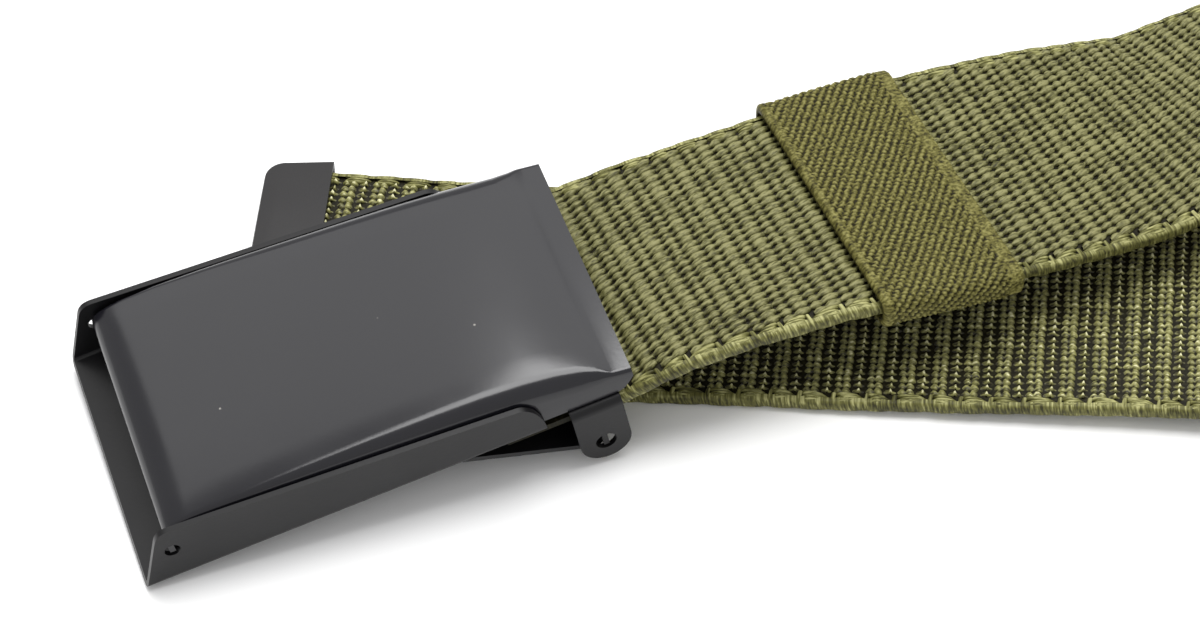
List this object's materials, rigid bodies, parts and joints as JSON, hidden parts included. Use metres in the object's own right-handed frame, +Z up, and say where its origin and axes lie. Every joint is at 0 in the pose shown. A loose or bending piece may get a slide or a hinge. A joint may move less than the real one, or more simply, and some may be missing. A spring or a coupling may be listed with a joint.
{
  "type": "tactical belt",
  "caption": "Woven webbing waist belt with a black flip-top friction buckle, an elastic keeper and a folded metal tip, lying loosely closed on a surface.",
  "frame": {"origin": "middle of the whole belt's footprint, on the surface it lies on", "axes": "+Z up from the surface; +X along the belt's long way from the buckle towards the far loop; -Y towards the viewer of the picture"},
  "size_m": [0.5478, 0.2108, 0.0383],
  "materials": {
    "webbing": "coarse woven olive webbing",
    "elastic": "fine ribbed olive elastic",
    "buckle_steel": "satin black enamel",
    "cover_steel": "satin black enamel",
    "tip_steel": "satin black enamel"
  },
  "bodies": {
    "belt": {"base_frame": "buckle_steel", "webbing": "webbing", "elastic_keeper": "elastic", "belt_tip": "tip_steel"},
    "cover": {"cover_plate": "cover_steel"},
    "lever": {"clamp_lever": "buckle_steel"}
  },
  "joints": [
    {"name": "cover_hinge", "type": "hinge", "parent": "belt", "child": "cover", "pos_m": [-0.26347, -0.08484, 0.00846], "axis": [0.323, -0.9458, -0.034], "range_deg": [0, 100]},
    {"name": "lever_hinge", "type": "hinge", "parent": "belt", "child": "lever", "pos_m": [-0.2062, -0.06518, 0.00559], "axis": [0.323, -0.9458, -0.034], "range_deg": [0, 7]}
  ]
}
